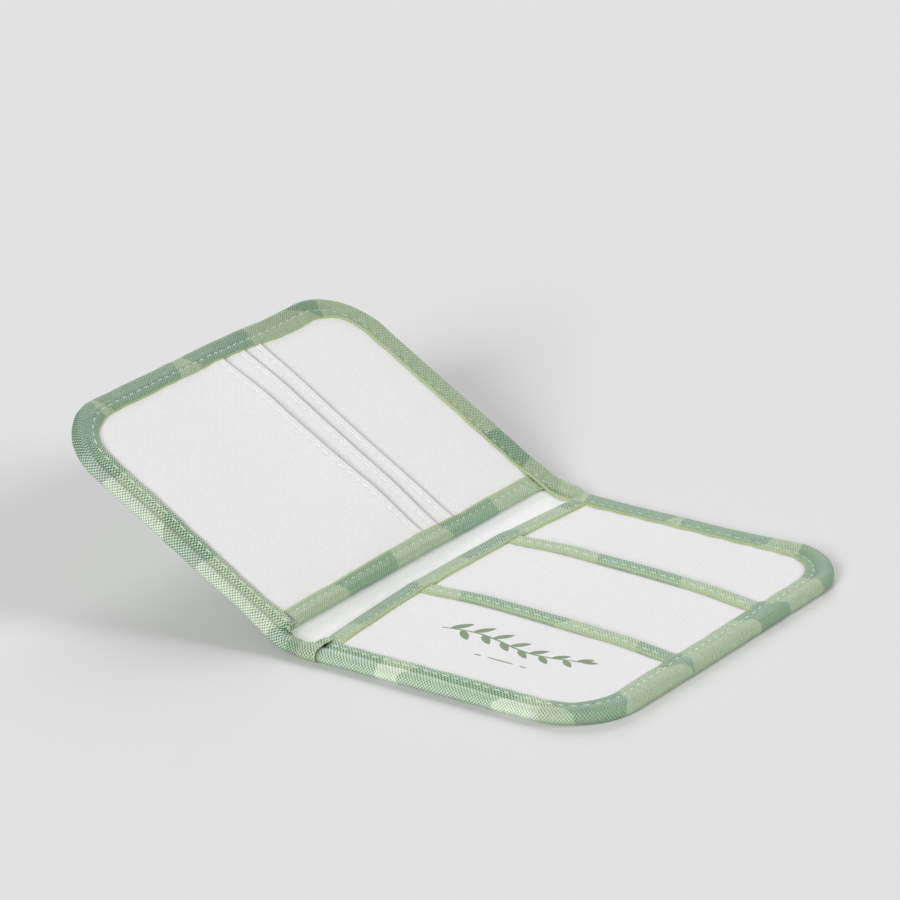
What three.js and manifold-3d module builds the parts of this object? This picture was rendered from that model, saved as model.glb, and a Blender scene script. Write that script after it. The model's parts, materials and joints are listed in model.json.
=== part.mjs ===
// Bifold card holder of printed canvas, lying open.
//
// Two halves and a narrow spine strip between them. The right half lies flat, the spine strip and then
// the left half rise from it about two fold lines. Every half is a stack of flat cut pieces, held together
// all round by a binding tape folded over the edge and sewn through. Units are millimetres, +Z is up,
// +Y runs along the folds to the far edge, and +X points to the right half's outer edge.
import * as THREE from 'three';
import { mergeVertices } from 'three/addons/utils/BufferGeometryUtils.js';
import Module from 'manifold-3d';

const wasm = await Module();
wasm.setup();

// ---- Driving dimensions --------------------------------------------------------------------------------

const HALF_LENGTH = 70.7; // half the holder's length along the folds
const RIGHT_REACH = 98.6; // right half, from its fold line to its outer edge
const LEFT_REACH = 95.2; // left half, from its fold line to its outer edge
const CORNER_RADIUS = 22; // outer corners, in plan
const SPINE_WIDTH = 7.6; // between the two fold lines
const FOLD_HEIGHT = 1.85; // both fold lines, over the underside
const RIGHT_FOLD_ANGLE = 9.4; // degrees that the spine strip rises from the right half
const LEFT_FOLD_ANGLE = 20; // degrees that the left half rises from the spine strip

const TAPE = 0.35; // binding tape
const COVER = 0.4; // outer canvas
const INTERLINING = 0.4; // stiffening layer
const LINING = 0.3;
const PANEL = 0.35; // inner panels
const POCKET = 0.3; // pocket canvas
const LAYER_GAP = 0.1; // between neighbouring layers
const FOLD_GAP = 0.15; // from a fold line to the pieces that end at it
const THREAD_WIDTH = 0.45;
const THREAD_HEIGHT = 0.12;

const EDGE_BINDING_WIDTH = 7.7; // edge binding, from the outer edge to its inner lip
const EDGE_ROLL_RADIUS = 2.5; // round outer edge of the binding
const LAYER_INSET = 2.7; // from the outer edge to the cut edge of the layers inside
const EDGE_SEAM_INSET = 5.7; // from the outer edge to the edge seam
const BAND_WIDTH = 6; // bindings along the right half's pocket mouths
const BAND_SEAM_INSET = 3.2;
const JOIN_LENGTH = 6.6; // the binding's closing end, from the right fold line

const RIGHT_PANEL_BINDING_WIDTH = 5.6;
const RIGHT_PANEL_BOW = 4; // how far the right panel's bound edge curves back at its ends
const RIGHT_PANEL_SEAM_INSET = 4.3;
const LEFT_PANEL_BINDING_WIDTH = 6.2;
const LEFT_PANEL_SEAM_INSET = 4.6;
const PANEL_BINDING_END_GAP = 0.3; // from a panel binding's end to the edge binding's lip
const PANEL_CUT_INSET = 1.8; // from a panel's bound edge to the cut edges inside its binding

// Each pocket mouth is a straight line: its place along the folds at the fold side and at the outer side.
const RIGHT_MIDDLE_MOUTH = { foldSide: 31.8, outerSide: 28.1 };
const RIGHT_FRONT_MOUTH = { foldSide: -13.3, outerSide: -15.5 };
const LEFT_REAR_MOUTH = { foldSide: 24.1, outerSide: 25.3 };
const LEFT_MOUTH_STEP = 7.7; // from one left pocket mouth to the next
const LEFT_POCKET_DEPTH = 58; // the two rear left pockets, from mouth to bottom
const HEM_DEPTH = 6; // turned hem along a left pocket's mouth
const HEM_SEAM_INSET = 2.3;

const CORNER_DIVISIONS = 4; // half the steps round one corner
const ROLL_STEPS = 5; // steps round a quarter of the binding's roll
const PANEL_EDGE_STEPS = 12; // steps along a panel's bound edge

// ---- Heights of the layers, from the underside up ------------------------------------------------------

const coverZ = TAPE + LAYER_GAP;
const interliningZ = coverZ + COVER + LAYER_GAP;
const liningZ = interliningZ + INTERLINING + LAYER_GAP;
const panelTapeZ = liningZ + LINING + LAYER_GAP;
const panelZ = panelTapeZ + TAPE + LAYER_GAP;
const onPanelZ = panelZ + PANEL + LAYER_GAP;
const bandLegZ = TAPE + LAYER_GAP; // a band's lower leg lifts its pocket by this much
const middlePocketZ = onPanelZ + bandLegZ;
const frontPocketZ = middlePocketZ + POCKET + LAYER_GAP + bandLegZ;
const bandTopOverPocket = POCKET + LAYER_GAP + TAPE;
const halfHeight = frontPocketZ + bandTopOverPocket + LAYER_GAP + TAPE;
const leftPocketStepZ = 2 * POCKET + LAYER_GAP;
const spineLiningZ = coverZ + COVER + LAYER_GAP;
const spineHeight = spineLiningZ + LINING + LAYER_GAP + TAPE;

// ---- Materials -----------------------------------------------------------------------------------------

const fabric = (color, roughness) => new THREE.MeshStandardMaterial({ color, roughness, metalness: 0 });
const whiteCanvas = () => fabric(0xe6e6e4, 0.9);
const paleGreenTape = () => fabric(0xabc2a0, 0.85);
const sageGreenTape = () => fabric(0x86a487, 0.85);
const printedCover = () => fabric(0x9ab596, 0.85);
const stiffener = () => fabric(0xd8d8d2, 0.95);
const greenThread = () => fabric(0xc8d8be, 0.7);
const whiteThread = () => fabric(0xf2f2f0, 0.7);

// ---- Geometry helpers: a half is drawn with X pointing out from its fold line --------------------------

/** A flat cut piece with this outline, lying at height z. */
function flatPiece(outline, z, thickness) {
  const geometry = new THREE.ExtrudeGeometry(new THREE.Shape(outline), {
    depth: thickness,
    bevelEnabled: false,
  });
  return geometry.translate(0, 0, z);
}

/** Sideways direction at each point of a path, long enough to keep an offset line parallel at bends. */
function sidewaysAlong(path) {
  return path.map((point, i) => {
    const before = path[Math.max(i - 1, 0)];
    const after = path[Math.min(i + 1, path.length - 1)];
    const arriving = (i > 0 ? point.clone().sub(before) : after.clone().sub(point)).normalize();
    const leaving = (i < path.length - 1 ? after.clone().sub(point) : arriving.clone()).normalize();
    const along = arriving.clone().add(leaving).normalize();
    const stretch = 1 / along.dot(arriving);
    return new THREE.Vector2(-along.y, along.x).multiplyScalar(stretch);
  });
}

/**
 * A long piece of constant section that follows a path in plan. A section point's x is its distance
 * sideways from the path, to the path's left, or to its right if toLeft is false, and its y is its height.
 */
function ribbon(path, section, toLeft = true) {
  const outline = THREE.ShapeUtils.isClockWise(section) ? [...section].reverse() : section;
  const sideways = sidewaysAlong(path);
  const sign = toLeft ? 1 : -1;
  const positions = [];
  path.forEach((point, i) => {
    for (const corner of outline) {
      const offset = sign * corner.x;
      positions.push(point.x + sideways[i].x * offset, point.y + sideways[i].y * offset, corner.y);
    }
  });
  const count = outline.length;
  const last = (path.length - 1) * count;
  const triangles = [];
  for (let i = 0; i < path.length - 1; i += 1) {
    for (let j = 0; j < count; j += 1) {
      const a = i * count + j;
      const b = i * count + ((j + 1) % count);
      triangles.push([a, b, b + count], [a, b + count, a + count]);
    }
  }
  for (const [a, b, c] of THREE.ShapeUtils.triangulateShape(outline, [])) {
    triangles.push([a, c, b], [last + a, last + b, last + c]);
  }
  const facingOut = toLeft ? triangles : triangles.map(([a, b, c]) => [a, c, b]);
  const geometry = new THREE.BufferGeometry();
  geometry.setAttribute('position', new THREE.Float32BufferAttribute(positions, 3));
  geometry.setIndex(facingOut.flat());
  return geometry;
}

/** Quarter-circle points from one angle to another, in degrees, in a section. */
function arcPoints(centreX, centreY, radius, from, to) {
  return Array.from({ length: ROLL_STEPS + 1 }, (_, i) => {
    const angle = THREE.MathUtils.degToRad(from + ((to - from) * i) / ROLL_STEPS);
    return new THREE.Vector2(centreX + radius * Math.cos(angle), centreY + radius * Math.sin(angle));
  });
}

/** Section of a tape folded over an edge: a lower leg, a round back and an upper leg. */
function foldedTape(width, bottom, top) {
  const radius = Math.min(EDGE_ROLL_RADIUS, (top - bottom) / 2);
  const inner = radius - TAPE;
  return [
    new THREE.Vector2(width, bottom),
    ...arcPoints(radius, bottom + radius, radius, 270, 180),
    ...arcPoints(radius, top - radius, radius, 180, 90),
    new THREE.Vector2(width, top),
    new THREE.Vector2(width, top - TAPE),
    ...arcPoints(radius, top - radius, inner, 90, 180),
    ...arcPoints(radius, bottom + radius, inner, 180, 270),
    new THREE.Vector2(width, bottom + TAPE),
  ].filter((point, i, all) => i === 0 || point.distanceTo(all[i - 1]) > 1e-6);
}

/** Section of a seam's thread line, at a distance from the path and on a surface at height z. */
function threadLine(inset, z) {
  const low = z + LAYER_GAP / 2;
  return [
    new THREE.Vector2(inset - THREAD_WIDTH / 2, low),
    new THREE.Vector2(inset + THREAD_WIDTH / 2, low),
    new THREE.Vector2(inset + THREAD_WIDTH / 2, low + THREAD_HEIGHT),
    new THREE.Vector2(inset - THREAD_WIDTH / 2, low + THREAD_HEIGHT),
  ];
}

/** One solid from two that overlap. */
function joined(first, second) {
  const [a, b] = [first, second].map((geometry) => {
    const bare = geometry.clone().deleteAttribute('normal').deleteAttribute('uv');
    const merged = mergeVertices(bare);
    return new wasm.Manifold(new wasm.Mesh({
      numProp: 3,
      vertProperties: new Float32Array(merged.attributes.position.array),
      triVerts: new Uint32Array(merged.index.array),
    }));
  });
  const mesh = a.add(b).getMesh();
  const geometry = new THREE.BufferGeometry();
  geometry.setAttribute('position', new THREE.BufferAttribute(mesh.vertProperties, 3));
  geometry.setIndex(new THREE.BufferAttribute(mesh.triVerts, 1));
  return geometry;
}

/** The same piece for the half on the other side of its fold line. */
function mirrored(geometry) {
  const flipped = geometry.index ? geometry.toNonIndexed() : geometry.clone();
  const { position } = flipped.attributes;
  const second = new THREE.Vector3();
  const third = new THREE.Vector3();
  for (let i = 0; i < position.count; i += 3) {
    second.fromBufferAttribute(position, i + 1);
    third.fromBufferAttribute(position, i + 2);
    position.setXYZ(i + 1, third.x, third.y, third.z);
    position.setXYZ(i + 2, second.x, second.y, second.z);
  }
  return flipped.scale(-1, 1, 1);
}

/** Adds a named piece to a group, mirrored if the group holds the left half. */
function addPiece(group, name, geometry, material) {
  const shape = group.userData.isLeft ? mirrored(geometry) : geometry;
  shape.computeVertexNormals();
  const mesh = new THREE.Mesh(shape, material);
  mesh.name = name;
  group.add(mesh);
}

// ---- Outlines in plan ----------------------------------------------------------------------------------

/** A half's edge, moved in by inset: from start on the near side, round both corners, to the far side. */
function edgePath(reach, inset, nearStart = FOLD_GAP) {
  const centreX = reach - CORNER_RADIUS;
  const centreY = HALF_LENGTH - CORNER_RADIUS;
  const radius = CORNER_RADIUS - inset;
  const path = new THREE.Path();
  path.moveTo(nearStart, inset - HALF_LENGTH);
  path.lineTo(centreX, inset - HALF_LENGTH);
  path.absarc(centreX, -centreY, radius, -Math.PI / 2, 0);
  path.lineTo(reach - inset, centreY);
  path.absarc(centreX, centreY, radius, 0, Math.PI / 2);
  path.lineTo(FOLD_GAP, HALF_LENGTH - inset);
  return path.getPoints(CORNER_DIVISIONS);
}

/** A whole half's outline, with its fold side straight at foldSide. */
function halfOutline(reach, foldSide) {
  const path = edgePath(reach, LAYER_INSET, foldSide);
  path[path.length - 1].x = foldSide;
  return path;
}

/** The right panel's bound edge bows towards the fold line at its middle. The left panel's is straight. */
const rightPanelX = (y) => FOLD_GAP + RIGHT_PANEL_BOW * (y / HALF_LENGTH) ** 2;
const leftPanelX = () => FOLD_GAP;

/** Points along a panel's bound edge, moved in by inset, from one place along the fold to another. */
function panelEdge(panelX, from, to, inset = 0) {
  return Array.from({ length: PANEL_EDGE_STEPS + 1 }, (_, i) => {
    const y = from + ((to - from) * i) / PANEL_EDGE_STEPS;
    return new THREE.Vector2(panelX(y) + inset, y);
  });
}

/** The part of a panel's outline below a pocket mouth, down to bottom or round the near corner. */
function pocketOutline(reach, panelX, mouth, bottom) {
  const cutEnd = LAYER_INSET - HALF_LENGTH;
  const nearEnd = bottom ? bottom.foldSide : cutEnd;
  const nearCorner = edgePath(reach, LAYER_INSET).filter((point) => point.y < 0);
  const outerPart = bottom ? [new THREE.Vector2(reach - LAYER_INSET, bottom.outerSide)] : nearCorner.slice(1);
  return [
    ...outerPart,
    new THREE.Vector2(reach - LAYER_INSET, mouth.outerSide),
    ...panelEdge(panelX, mouth.foldSide, nearEnd, PANEL_CUT_INSET),
  ];
}

/** A pocket mouth's line, from the fold side to outerInset from the outer edge. */
function mouthPath(reach, foldSide, mouth, outerInset = LAYER_INSET) {
  return [
    new THREE.Vector2(foldSide, mouth.foldSide),
    new THREE.Vector2(reach - outerInset, mouth.outerSide),
  ];
}

const lowerMouth = (mouth, distance) => ({
  foldSide: mouth.foldSide - distance,
  outerSide: mouth.outerSide - distance,
});

// ---- Pieces that both halves have ----------------------------------------------------------------------

/** Cover, interlining, lining and edge binding of one half. */
function addShell(group, side, reach) {
  const wholeHalf = halfOutline(reach, FOLD_GAP);
  const stiffened = halfOutline(reach, FOLD_GAP + LAYER_INSET);
  addPiece(group, `${side}_outer_cover`, flatPiece(wholeHalf, coverZ, COVER), printedCover());
  addPiece(group, `${side}_interlining`, flatPiece(stiffened, interliningZ, INTERLINING), stiffener());
  addPiece(group, `${side}_lining`, flatPiece(wholeHalf, liningZ, LINING), whiteCanvas());
}

/** Edge binding round one half, from nearStart on the near side, with its seam. */
function addEdgeBinding(group, side, reach, nearStart) {
  const section = foldedTape(EDGE_BINDING_WIDTH, 0, halfHeight);
  const binding = ribbon(edgePath(reach, 0, nearStart), section);
  const seam = ribbon(edgePath(reach, 0), threadLine(EDGE_SEAM_INSET, halfHeight));
  addPiece(group, `${side}_edge_binding`, binding, paleGreenTape());
  addPiece(group, `${side}_edge_stitching`, seam, greenThread());
}

/** A half's inner panel, open towards the fold, with the binding along its open edge. */
function addBackPanel(group, side, reach, panelX, bindingWidth, seamInset) {
  const cutEnd = HALF_LENGTH - LAYER_INSET;
  const bindingEnd = HALF_LENGTH - EDGE_BINDING_WIDTH - PANEL_BINDING_END_GAP;
  const outerPart = edgePath(reach, LAYER_INSET).slice(1, -1);
  const outline = [...outerPart, ...panelEdge(panelX, cutEnd, -cutEnd, PANEL_CUT_INSET)];
  const edge = panelEdge(panelX, bindingEnd, -bindingEnd);
  const section = foldedTape(bindingWidth, panelTapeZ, halfHeight);
  const seam = threadLine(seamInset, halfHeight);
  addPiece(group, `${side}_back_panel`, flatPiece(outline, panelZ, PANEL), whiteCanvas());
  addPiece(group, `${side}_back_panel_binding`, ribbon(edge, section), sageGreenTape());
  addPiece(group, `${side}_back_panel_stitching`, ribbon(edge, seam), greenThread());
}

// ---- Right half ----------------------------------------------------------------------------------------

/** A pocket whose mouth is bound with a narrow folded tape. */
function addBoundPocket(group, name, mouth, pocketZ) {
  const cutMouth = lowerMouth(mouth, TAPE + LAYER_GAP);
  const pocket = flatPiece(pocketOutline(RIGHT_REACH, rightPanelX, cutMouth), pocketZ, POCKET);
  const bindingSide = rightPanelX(mouth.foldSide);
  const mouthLine = mouthPath(RIGHT_REACH, bindingSide + PANEL_CUT_INSET, mouth);
  const seamStart = bindingSide + RIGHT_PANEL_BINDING_WIDTH + LAYER_GAP;
  const seamLine = mouthPath(RIGHT_REACH, seamStart, mouth, EDGE_BINDING_WIDTH + LAYER_GAP);
  const bandTop = pocketZ + bandTopOverPocket;
  const band = foldedTape(BAND_WIDTH, pocketZ - bandLegZ, bandTop);
  addPiece(group, `right_${name}_pocket`, pocket, whiteCanvas());
  addPiece(group, `right_${name}_pocket_binding`, ribbon(mouthLine, band, false), paleGreenTape());
  addPiece(
    group,
    `right_${name}_pocket_stitching`,
    ribbon(seamLine, threadLine(BAND_SEAM_INSET, bandTop), false),
    greenThread(),
  );
}

function makeRightHalf() {
  const group = new THREE.Group();
  addShell(group, 'right', RIGHT_REACH);
  addBackPanel(
    group,
    'right',
    RIGHT_REACH,
    rightPanelX,
    RIGHT_PANEL_BINDING_WIDTH,
    RIGHT_PANEL_SEAM_INSET,
  );
  addBoundPocket(group, 'middle', RIGHT_MIDDLE_MOUTH, middlePocketZ);
  addBoundPocket(group, 'front', RIGHT_FRONT_MOUTH, frontPocketZ);
  addEdgeBinding(group, 'right', RIGHT_REACH, JOIN_LENGTH + 2 * FOLD_GAP);
  const joinPath = [
    new THREE.Vector2(FOLD_GAP, -HALF_LENGTH),
    new THREE.Vector2(JOIN_LENGTH, -HALF_LENGTH),
  ];
  const section = foldedTape(EDGE_BINDING_WIDTH, 0, halfHeight);
  addPiece(group, 'edge_binding_closing_end', ribbon(joinPath, section), paleGreenTape());
  return group;
}

// ---- Left half -----------------------------------------------------------------------------------------

/** A card pocket with a turned and sewn hem along its mouth. */
function addHemmedPocket(group, name, mouth, bottom, hemZ) {
  const outline = pocketOutline(LEFT_REACH, leftPanelX, mouth, bottom);
  const hem = pocketOutline(LEFT_REACH, leftPanelX, mouth, lowerMouth(mouth, HEM_DEPTH));
  const pocket = joined(flatPiece(outline, hemZ + POCKET, POCKET), flatPiece(hem, hemZ, 2 * POCKET));
  const seamStart = FOLD_GAP + LEFT_PANEL_BINDING_WIDTH + LAYER_GAP;
  const seamLine = mouthPath(LEFT_REACH, seamStart, mouth, EDGE_BINDING_WIDTH + LAYER_GAP);
  const seam = threadLine(HEM_SEAM_INSET, hemZ + 2 * POCKET);
  addPiece(group, `left_${name}_pocket`, pocket, whiteCanvas());
  addPiece(group, `left_${name}_pocket_stitching`, ribbon(seamLine, seam, false), whiteThread());
}

function makeLeftHalf() {
  const group = new THREE.Group();
  group.userData.isLeft = true;
  addShell(group, 'left', LEFT_REACH);
  addBackPanel(
    group,
    'left',
    LEFT_REACH,
    leftPanelX,
    LEFT_PANEL_BINDING_WIDTH,
    LEFT_PANEL_SEAM_INSET,
  );
  ['rear', 'middle', 'front'].forEach((name, i) => {
    const mouth = lowerMouth(LEFT_REAR_MOUTH, i * LEFT_MOUTH_STEP);
    const bottom = name === 'front' ? null : lowerMouth(mouth, LEFT_POCKET_DEPTH);
    addHemmedPocket(group, name, mouth, bottom, onPanelZ + i * leftPocketStepZ);
  });
  addEdgeBinding(group, 'left', LEFT_REACH, FOLD_GAP);
  return group;
}

// ---- Spine strip ---------------------------------------------------------------------------------------

/** The strip between the fold lines: cover, lining, and the binding over its two ends. */
function makeSpine() {
  const group = new THREE.Group();
  const [left, right] = [FOLD_GAP - SPINE_WIDTH, -FOLD_GAP];
  const end = HALF_LENGTH - LAYER_INSET;
  const strip = [
    new THREE.Vector2(left, -end),
    new THREE.Vector2(right, -end),
    new THREE.Vector2(right, end),
    new THREE.Vector2(left, end),
  ];
  addPiece(group, 'spine_outer_cover', flatPiece(strip, coverZ, COVER), printedCover());
  addPiece(group, 'spine_lining', flatPiece(strip, spineLiningZ, LINING), whiteCanvas());
  const section = foldedTape(EDGE_BINDING_WIDTH, 0, spineHeight);
  const seam = threadLine(EDGE_SEAM_INSET, spineHeight);
  for (const [name, y] of [['near', -HALF_LENGTH], ['far', HALF_LENGTH]]) {
    const path = [new THREE.Vector2(left, y), new THREE.Vector2(right, y)];
    const isNear = name === 'near';
    addPiece(group, `spine_${name}_binding`, ribbon(path, section, isNear), paleGreenTape());
    addPiece(group, `spine_${name}_stitching`, ribbon(path, seam, isNear), greenThread());
  }
  return group;
}

// ---- Assembly: each group's origin lies on its fold line -----------------------------------------------

/** Puts pieces drawn from the underside into a group that turns about a fold line. */
function foldAbout(pieces, degrees) {
  const fold = new THREE.Group();
  pieces.position.z = -FOLD_HEIGHT;
  fold.add(pieces);
  fold.rotation.y = THREE.MathUtils.degToRad(degrees);
  return fold;
}

const leftFold = foldAbout(makeLeftHalf(), LEFT_FOLD_ANGLE);
leftFold.position.x = -SPINE_WIDTH;
const rightFold = foldAbout(makeSpine(), RIGHT_FOLD_ANGLE);
rightFold.add(leftFold);
rightFold.position.z = FOLD_HEIGHT;

const holder = new THREE.Group();
holder.add(makeRightHalf(), rightFold);
holder.updateMatrixWorld(true);
const extent = new THREE.Box3().setFromObject(holder, true);
holder.position.x = -(extent.min.x + extent.max.x) / 2;

export default holder;
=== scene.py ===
"""The looks of an open bifold card holder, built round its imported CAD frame.

Cloth is worked out flat, in millimetres, as it would lie with both halves open on a table. X runs out from
the right fold line over the right half, and is negative over the spine strip and the left half. Y runs along
the folds. Z is the height over the underside. lay() bends the flat shape along the two folds as the holder
lies at rest, and gives metres in the frame's own axes. On a half, u is the distance out from its fold line.
"""

import json
import math

import bpy
import numpy as np
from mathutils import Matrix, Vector


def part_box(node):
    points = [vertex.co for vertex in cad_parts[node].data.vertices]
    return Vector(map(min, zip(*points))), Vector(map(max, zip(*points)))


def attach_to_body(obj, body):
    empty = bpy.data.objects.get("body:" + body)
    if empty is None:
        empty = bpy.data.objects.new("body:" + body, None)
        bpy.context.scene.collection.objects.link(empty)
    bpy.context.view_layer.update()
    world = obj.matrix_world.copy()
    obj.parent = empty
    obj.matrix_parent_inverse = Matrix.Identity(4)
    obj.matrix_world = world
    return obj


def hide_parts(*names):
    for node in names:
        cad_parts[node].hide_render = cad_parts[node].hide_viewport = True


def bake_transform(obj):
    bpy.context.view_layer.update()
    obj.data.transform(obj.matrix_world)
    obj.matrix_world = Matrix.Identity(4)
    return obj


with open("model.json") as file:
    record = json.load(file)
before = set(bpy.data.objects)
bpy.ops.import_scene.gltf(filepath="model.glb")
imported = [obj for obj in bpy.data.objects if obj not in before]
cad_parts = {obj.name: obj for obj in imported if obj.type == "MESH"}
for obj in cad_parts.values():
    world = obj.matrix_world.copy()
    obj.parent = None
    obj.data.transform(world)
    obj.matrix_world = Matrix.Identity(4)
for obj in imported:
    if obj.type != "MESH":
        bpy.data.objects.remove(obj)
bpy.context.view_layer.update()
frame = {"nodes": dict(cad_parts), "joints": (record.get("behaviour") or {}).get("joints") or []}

# ---- Sizes in millimetres, from the frame where it says them -------------------------------------------

MM = 0.001
HALVES = ("right", "left")
JOINTS = {joint["name"]: joint for joint in frame["joints"]}
RIGHT_FOLD = np.array(JOINTS["right_fold"]["pos_m"]) / MM
LEFT_FOLD = np.array(JOINTS["left_fold"]["pos_m"]) / MM
SPINE_RISE = math.radians(-JOINTS["right_fold"]["range_deg"][0])
LEFT_RISE = math.radians(-JOINTS["left_fold"]["range_deg"][0])
SPINE_WIDTH = float(np.linalg.norm(LEFT_FOLD - RIGHT_FOLD))
FOLD_HEIGHT = float(RIGHT_FOLD[2])
HALF_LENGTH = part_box("right_edge_binding")[1].y / MM
RIGHT_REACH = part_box("right_edge_binding")[1].x / MM - RIGHT_FOLD[0]
LEFT_REACH = 94.6  # from the left fold line to the outer edge, along the standing half
CORNER_RADIUS = 22.0
PANEL_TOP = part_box("right_back_panel")[1].z / MM
COVER_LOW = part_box("right_outer_cover")[0].z / MM
COVER_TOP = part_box("right_outer_cover")[1].z / MM
LINING_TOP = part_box("right_lining")[1].z / MM
SPINE_LINING_TOP = 1.25  # the strip has no interlining, so its lining lies lower

BEND_RIGHT = 3.2  # half the width that each fold's bend is spread over
BEND_LEFT = 4.4
LAYER_SPLIT = -7.0  # flat x where the right and left cover and lining meet, under the left panel's tape

EDGE_WIDTH = 7.0  # edge binding, from the outer edge to its lip
EDGE_SEAM = 5.2
LAYER_INSET = 2.7  # from the outer edge to the cut edge of the layers inside
LAYER_END = HALF_LENGTH - LAYER_INSET  # where the layers inside are cut, along the folds
TAPE = 0.24  # binding tape's thickness
CANVAS = 0.3
GRID_STEP = 1.6  # between the rows and columns of a sheet's mesh
LIP_SPAN = (1.8, 2.6)  # where the turned edge shows, across the tape from its hidden edge
STITCH = 3.4
HEM_STITCH = 3.2
BAND_WIDTH = 5.6
BAND_SEAM = 3.2
HEM_SEAM = 2.3  # from a card pocket's mouth to its stitches
HEM_WIDTH = 6.2
HEM_THICKNESS = 0.46
HEM_ROUND = 0.3  # radius of the folded edge
CARD_DEPTH = 58.0  # how far the two hidden card pockets reach down
POCKET_START = 0.9  # inner edge of the pockets, out from the bound edge or the fold line
MOUTH_START = 6.0  # where a mouth's place at the fold side is given, out from the fold line
POCKET_STEP = 0.34  # one right pocket over the layer under it
CARD_STEP = 0.6  # one left pocket over the layer under it

# Pocket mouths: their place along the folds at the fold side and at the outer side, how far they stand up,
# and how far they bow towards the far end in between.
MIDDLE_MOUTH = {"fold": 31.4, "outer": 27.2, "lift": 1.15, "bow": 0.0}
FRONT_MOUTH = {"fold": -13.9, "outer": -17.5, "lift": 1.05, "bow": 0.0}
REAR_CARD = {"fold": 24.0, "outer": 24.4, "lift": 0.5, "bow": -1.5}
MIDDLE_CARD = {"fold": 15.6, "outer": 16.0, "lift": 0.8, "bow": -1.5}
FRONT_CARD = {"fold": 7.4, "outer": 5.5, "lift": 1.1, "bow": -2.6}


# ---- Small helpers -------------------------------------------------------------------------------------

def smooth(t):
    """0 below 0, 1 above 1, and an S-curve between."""
    t = np.clip(t, 0.0, 1.0)
    return t * t * (3 - 2 * t)


def drift(t, seed, length, amount):
    """A slow irregular wave along t, about `length` long, the same for each run."""
    rng = np.random.default_rng(seed)
    total = 0.0
    for share in (1.0, 0.57, 0.31):
        phase = rng.uniform(0, 2 * math.pi)
        total = total + share * np.sin(2 * math.pi * t / (length * share) + phase)
    return amount * total / 1.9


def between(first, second, share):
    return first * (1 - share) + second * share


def bend_angle(x):
    """How far the cloth has turned up at flat place x."""
    right = smooth((BEND_RIGHT - x) / (2 * BEND_RIGHT))
    left = smooth((BEND_LEFT - SPINE_WIDTH - x) / (2 * BEND_LEFT))
    return SPINE_RISE * right + LEFT_RISE * left


# The line that the cloth follows at the folds' height, in small steps of flat x from right to left.
LINE_STEP = 0.05
LINE_START = 110.0
FLAT_X = np.arange(LINE_START, -112.0, -LINE_STEP)
LINE_TURN = bend_angle(FLAT_X[:-1] - LINE_STEP / 2)
LINE_X = RIGHT_FOLD[0] + LINE_START - np.concatenate([[0], np.cumsum(LINE_STEP * np.cos(LINE_TURN))])
LINE_Z = FOLD_HEIGHT + np.concatenate([[0], np.cumsum(LINE_STEP * np.sin(LINE_TURN))])


def lay(flat):
    """Flat points in millimetres, bent along the folds, in metres in the frame's axes."""
    flat = np.asarray(flat, float)
    x, y, z = flat[..., 0], flat[..., 1], flat[..., 2] - FOLD_HEIGHT
    angle = bend_angle(x)
    across = np.interp(x, FLAT_X[::-1], LINE_X[::-1]) + z * np.sin(angle)
    height = np.interp(x, FLAT_X[::-1], LINE_Z[::-1]) + z * np.cos(angle)
    return np.stack([across, y, height], axis=-1) * MM


def side_x(half, u):
    """Flat x of a place u out from the fold line of a half."""
    return u if half == "right" else -SPINE_WIDTH - u


def reach_of(half):
    return RIGHT_REACH if half == "right" else LEFT_REACH


def through(points, count):
    """A smooth open curve through each row of points, (..., n, 2), resampled to count places."""
    n = points.shape[-2]
    t = np.linspace(0, n - 1, count)
    i = np.minimum(t.astype(int), n - 2)
    f = (t - i)[:, None]
    p0 = points[..., np.maximum(i - 1, 0), :]
    p1 = points[..., i, :]
    p2 = points[..., i + 1, :]
    p3 = points[..., np.minimum(i + 2, n - 1), :]
    a = 2 * p1
    b = p2 - p0
    c = 2 * p0 - 5 * p1 + 4 * p2 - p3
    d = 3 * p1 - p0 - 3 * p2 + p3
    return 0.5 * (a + b * f + c * f**2 + d * f**3)


# ---- Meshes --------------------------------------------------------------------------------------------

def new_piece(name, points, faces, cloth, material, smooth_faces=True):
    """A mesh object from points in metres. cloth gives each point its place in the weave, in millimetres."""
    mesh = bpy.data.meshes.new(name)
    mesh.from_pydata(points.reshape(-1, 3).tolist(), [], faces)
    layer = mesh.attributes.new("cloth", "FLOAT_VECTOR", "POINT")
    layer.data.foreach_set("vector", cloth.astype(np.float32).ravel())
    mesh.polygons.foreach_set("use_smooth", [smooth_faces] * len(mesh.polygons))
    piece = bpy.data.objects.new(name, mesh)
    bpy.context.scene.collection.objects.link(piece)
    mesh.materials.append(material)
    mesh.validate()
    mesh.update()
    return piece


def loft_faces(rings, count):
    """Faces of a closed tube of rings, each a loop of count points."""
    faces = []
    for i in range(rings - 1):
        for j in range(count):
            k = (j + 1) % count
            faces.append((i * count + j, i * count + k, (i + 1) * count + k, (i + 1) * count + j))
    faces.append(tuple(reversed(range(count))))
    faces.append(tuple(range((rings - 1) * count, rings * count)))
    return faces


def facing_out(points, faces):
    """The same faces, turned over if they enclose a negative volume."""
    flat = points.reshape(-1, 3)
    volume = 0.0
    for face in faces[: len(faces) - 2]:
        a, b, c, d = (flat[i] for i in face)
        volume += np.dot(a, np.cross(b, c)) + np.dot(a, np.cross(c, d))
    return faces if volume > 0 else [tuple(reversed(face)) for face in faces]


def sheet_rim(rows, columns):
    """The points round the edge of a grid, in order."""
    rim = list(range(columns))
    rim += [i * columns + columns - 1 for i in range(1, rows)]
    rim += [(rows - 1) * columns + j for j in range(columns - 2, -1, -1)]
    return rim + [i * columns for i in range(rows - 2, 0, -1)]


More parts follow.
